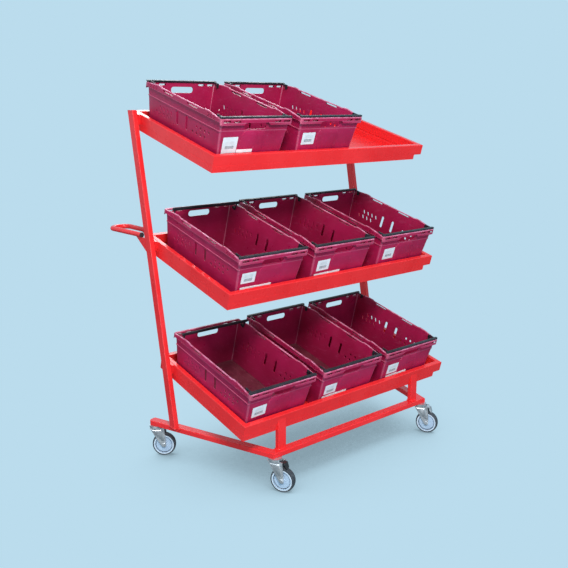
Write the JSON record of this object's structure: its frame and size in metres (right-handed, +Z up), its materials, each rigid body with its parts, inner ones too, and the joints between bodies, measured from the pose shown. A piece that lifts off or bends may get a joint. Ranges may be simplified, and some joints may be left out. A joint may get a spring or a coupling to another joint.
{
  "type": "tote box trolley",
  "caption": "Tiered picking trolley: tilted trays of bale-arm totes between two leaning uprights, on a splayed tube base with swivel castors and push handles.",
  "frame": {"origin": "on the floor, below the middle of the trolley's bounding box", "axes": "+Z up, +Y towards the push handles, -Y the side from which the trays are filled, +X to the right of someone facing the trays"},
  "size_m": [1.497, 1.1432, 1.8153],
  "materials": {
    "red_paint": "gloss",
    "tote_plastic": "satin",
    "arm_black": "satin",
    "zinc": "bright zinc",
    "wheel_grey": "satin",
    "tyre_rubber": "matt",
    "black_plastic": "matt"
  },
  "bodies": {
    "frame": {"base_front_rail": "red_paint", "base_side_rail_left": "red_paint", "base_side_rail_right": "red_paint", "upright_left": "red_paint", "upright_right": "red_paint", "front_post_left": "red_paint", "front_post_right": "red_paint", "tube_end_caps": "red_paint", "tray_top_rim": "red_paint", "tray_top_pan": "red_paint", "tray_middle_rim": "red_paint", "tray_middle_pan": "red_paint", "tray_bottom_rim": "red_paint", "tray_bottom_pan": "red_paint", "tray_blocks": "red_paint", "handle_left": "red_paint", "handle_right": "red_paint", "handle_end_plugs": "black_plastic", "handle_brackets": "red_paint", "castor_races": "zinc"},
    "castor_front_left": {"castor_front_left_fork": "zinc"},
    "wheel_front_left": {"castor_front_left_wheel": "wheel_grey", "castor_front_left_tyre": "tyre_rubber"},
    "castor_front_right": {"castor_front_right_fork": "zinc"},
    "wheel_front_right": {"castor_front_right_wheel": "wheel_grey", "castor_front_right_tyre": "tyre_rubber"},
    "castor_rear_left": {"castor_rear_left_fork": "zinc"},
    "wheel_rear_left": {"castor_rear_left_wheel": "wheel_grey", "castor_rear_left_tyre": "tyre_rubber"},
    "castor_rear_right": {"castor_rear_right_fork": "zinc"},
    "wheel_rear_right": {"castor_rear_right_wheel": "wheel_grey", "castor_rear_right_tyre": "tyre_rubber"},
    "brake_left": {"brake_pedal_left": "black_plastic"},
    "brake_right": {"brake_pedal_right": "zinc"},
    "tote_top_1": {"tote_top_1": "tote_plastic"},
    "tote_top_2": {"tote_top_2": "tote_plastic"},
    "tote_middle_1": {"tote_middle_1": "tote_plastic"},
    "tote_middle_2": {"tote_middle_2": "tote_plastic"},
    "tote_middle_3": {"tote_middle_3": "tote_plastic"},
    "tote_bottom_1": {"tote_bottom_1": "tote_plastic"},
    "tote_bottom_2": {"tote_bottom_2": "tote_plastic"},
    "tote_bottom_3": {"tote_bottom_3": "tote_plastic"},
    "arm_front_top_1": {"arm_front_top_1": "arm_black"},
    "arm_back_top_1": {"arm_back_top_1": "arm_black"},
    "arm_front_top_2": {"arm_front_top_2": "arm_black"},
    "arm_back_top_2": {"arm_back_top_2": "arm_black"},
    "arm_front_middle_1": {"arm_front_middle_1": "arm_black"},
    "arm_back_middle_1": {"arm_back_middle_1": "arm_black"},
    "arm_front_middle_2": {"arm_front_middle_2": "arm_black"},
    "arm_back_middle_2": {"arm_back_middle_2": "arm_black"},
    "arm_front_middle_3": {"arm_front_middle_3": "arm_black"},
    "arm_back_middle_3": {"arm_back_middle_3": "arm_black"},
    "arm_front_bottom_1": {"arm_front_bottom_1": "arm_black"},
    "arm_back_bottom_1": {"arm_back_bottom_1": "arm_black"},
    "arm_front_bottom_2": {"arm_front_bottom_2": "arm_black"},
    "arm_back_bottom_2": {"arm_back_bottom_2": "arm_black"},
    "arm_front_bottom_3": {"arm_front_bottom_3": "arm_black"},
    "arm_back_bottom_3": {"arm_back_bottom_3": "arm_black"}
  },
  "joints": [
    {"name": "castor_front_left_swivel", "type": "hinge", "parent": "frame", "child": "castor_front_left", "pos_m": [-0.5003, -0.48013, 0.158], "axis": [0, 0, 1], "continuous": true},
    {"name": "castor_front_right_swivel", "type": "hinge", "parent": "frame", "child": "castor_front_right", "pos_m": [0.50336, -0.48013, 0.158], "axis": [0, 0, 1], "continuous": true},
    {"name": "castor_rear_left_swivel", "type": "hinge", "parent": "frame", "child": "castor_rear_left", "pos_m": [-0.71306, 0.18387, 0.158], "axis": [0, 0, 1], "continuous": true},
    {"name": "castor_rear_right_swivel", "type": "hinge", "parent": "frame", "child": "castor_rear_right", "pos_m": [0.71612, 0.18387, 0.158], "axis": [0, 0, 1], "continuous": true},
    {"name": "castor_front_left_roll", "type": "hinge", "parent": "castor_front_left", "child": "wheel_front_left", "pos_m": [-0.48321, -0.51518, 0.058], "axis": [0.8988, 0.4384, 0], "continuous": true},
    {"name": "castor_front_right_roll", "type": "hinge", "parent": "castor_front_right", "child": "wheel_front_right", "pos_m": [0.52107, -0.51488, 0.058], "axis": [0.891, 0.454, 0], "continuous": true},
    {"name": "castor_rear_left_roll", "type": "hinge", "parent": "castor_rear_left", "child": "wheel_rear_left", "pos_m": [-0.68454, 0.15727, 0.058], "axis": [0.682, 0.7314, 0], "continuous": true},
    {"name": "castor_rear_right_roll", "type": "hinge", "parent": "castor_rear_right", "child": "wheel_rear_right", "pos_m": [0.72155, 0.14525, 0.058], "axis": [0.9903, 0.1392, 0], "continuous": true},
    {"name": "brake_left_press", "type": "hinge", "parent": "castor_front_left", "child": "brake_left", "pos_m": [-0.48452, -0.51248, 0.14135], "axis": [0.8988, 0.4384, 0], "range_deg": [0, 6]},
    {"name": "brake_right_press", "type": "hinge", "parent": "castor_front_right", "child": "brake_right", "pos_m": [0.5197, -0.5122, 0.14135], "axis": [0.891, 0.454, 0], "range_deg": [0, 6]},
    {"name": "tote_top_1_lift", "type": "slide", "parent": "frame", "child": "tote_top_1", "axis": [0, -0.2689, 0.9632], "range_m": [0, 0.2]},
    {"name": "tote_top_2_lift", "type": "slide", "parent": "frame", "child": "tote_top_2", "axis": [0, -0.2689, 0.9632], "range_m": [0, 0.2]},
    {"name": "tote_middle_1_lift", "type": "slide", "parent": "frame", "child": "tote_middle_1", "axis": [0, -0.2622, 0.965], "range_m": [0, 0.2]},
    {"name": "tote_middle_2_lift", "type": "slide", "parent": "frame", "child": "tote_middle_2", "axis": [0, -0.2622, 0.965], "range_m": [0, 0.2]},
    {"name": "tote_middle_3_lift", "type": "slide", "parent": "frame", "child": "tote_middle_3", "axis": [0, -0.2622, 0.965], "range_m": [0, 0.2]},
    {"name": "tote_bottom_1_lift", "type": "slide", "parent": "frame", "child": "tote_bottom_1", "axis": [0, -0.2436, 0.9699], "range_m": [0, 0.2]},
    {"name": "tote_bottom_2_lift", "type": "slide", "parent": "frame", "child": "tote_bottom_2", "axis": [0, -0.2436, 0.9699], "range_m": [0, 0.2]},
    {"name": "tote_bottom_3_lift", "type": "slide", "parent": "frame", "child": "tote_bottom_3", "axis": [0, -0.2436, 0.9699], "range_m": [0, 0.2]},
    {"name": "arm_front_top_1_swing", "type": "hinge", "parent": "tote_top_1", "child": "arm_front_top_1", "pos_m": [-0.45477, -0.27436, 1.64391], "axis": [-1, 0, 0], "range_deg": [0, 106.97]},
    {"name": "arm_back_top_1_swing", "type": "hinge", "parent": "tote_top_1", "child": "arm_back_top_1", "pos_m": [-0.45477, 0.21877, 1.7816], "axis": [1, 0, 0], "range_deg": [0, 106.97]},
    {"name": "arm_front_top_2_swing", "type": "hinge", "parent": "tote_top_2", "child": "arm_front_top_2", "pos_m": [-0.01397, -0.27436, 1.64391], "axis": [-1, 0, 0], "range_deg": [0, 106.97]},
    {"name": "arm_back_top_2_swing", "type": "hinge", "parent": "tote_top_2", "child": "arm_back_top_2", "pos_m": [-0.01397, 0.21877, 1.7816], "axis": [1, 0, 0], "range_deg": [0, 106.97]},
    {"name": "arm_front_middle_1_swing", "type": "hinge", "parent": "tote_middle_1", "child": "arm_front_middle_1", "pos_m": [-0.43677, -0.36551, 1.06882], "axis": [-1, 0, 0], "range_deg": [0, 106.97]},
    {"name": "arm_back_middle_1_swing", "type": "hinge", "parent": "tote_middle_1", "child": "arm_back_middle_1", "pos_m": [-0.43677, 0.12858, 1.20306], "axis": [-1, 0, 0], "range_deg": [0, 106.97]},
    {"name": "arm_front_middle_2_swing", "type": "hinge", "parent": "tote_middle_2", "child": "arm_front_middle_2", "pos_m": [-0.00107, -0.36551, 1.06882], "axis": [-1, 0, 0], "range_deg": [0, 106.97]},
    {"name": "arm_back_middle_2_swing", "type": "hinge", "parent": "tote_middle_2", "child": "arm_back_middle_2", "pos_m": [-0.00107, 0.12858, 1.20306], "axis": [1, 0, 0], "range_deg": [0, 106.97]},
    {"name": "arm_front_middle_3_swing", "type": "hinge", "parent": "tote_middle_3", "child": "arm_front_middle_3", "pos_m": [0.44683, -0.36551, 1.06882], "axis": [-1, 0, 0], "range_deg": [0, 106.97]},
    {"name": "arm_back_middle_3_swing", "type": "hinge", "parent": "tote_middle_3", "child": "arm_back_middle_3", "pos_m": [0.44683, 0.12858, 1.20306], "axis": [1, 0, 0], "range_deg": [0, 106.97]},
    {"name": "arm_front_bottom_1_swing", "type": "hinge", "parent": "tote_bottom_1", "child": "arm_front_bottom_1", "pos_m": [-0.46327, -0.45799, 0.49879], "axis": [-1, 0, 0], "range_deg": [0, 106.97]},
    {"name": "arm_back_bottom_1_swing", "type": "hinge", "parent": "tote_bottom_1", "child": "arm_back_bottom_1", "pos_m": [-0.46327, 0.03859, 0.62352], "axis": [-1, 0, 0], "range_deg": [0, 106.97]},
    {"name": "arm_front_bottom_2_swing", "type": "hinge", "parent": "tote_bottom_2", "child": "arm_front_bottom_2", "pos_m": [-0.02687, -0.45799, 0.49879], "axis": [-1, 0, 0], "range_deg": [0, 106.97]},
    {"name": "arm_back_bottom_2_swing", "type": "hinge", "parent": "tote_bottom_2", "child": "arm_back_bottom_2", "pos_m": [-0.02687, 0.03859, 0.62352], "axis": [1, 0, 0], "range_deg": [0, 106.97]},
    {"name": "arm_front_bottom_3_swing", "type": "hinge", "parent": "tote_bottom_3", "child": "arm_front_bottom_3", "pos_m": [0.39983, -0.45799, 0.49879], "axis": [-1, 0, 0], "range_deg": [0, 106.97]},
    {"name": "arm_back_bottom_3_swing", "type": "hinge", "parent": "tote_bottom_3", "child": "arm_back_bottom_3", "pos_m": [0.39983, 0.03859, 0.62352], "axis": [1, 0, 0], "range_deg": [0, 106.97]}
  ]
}
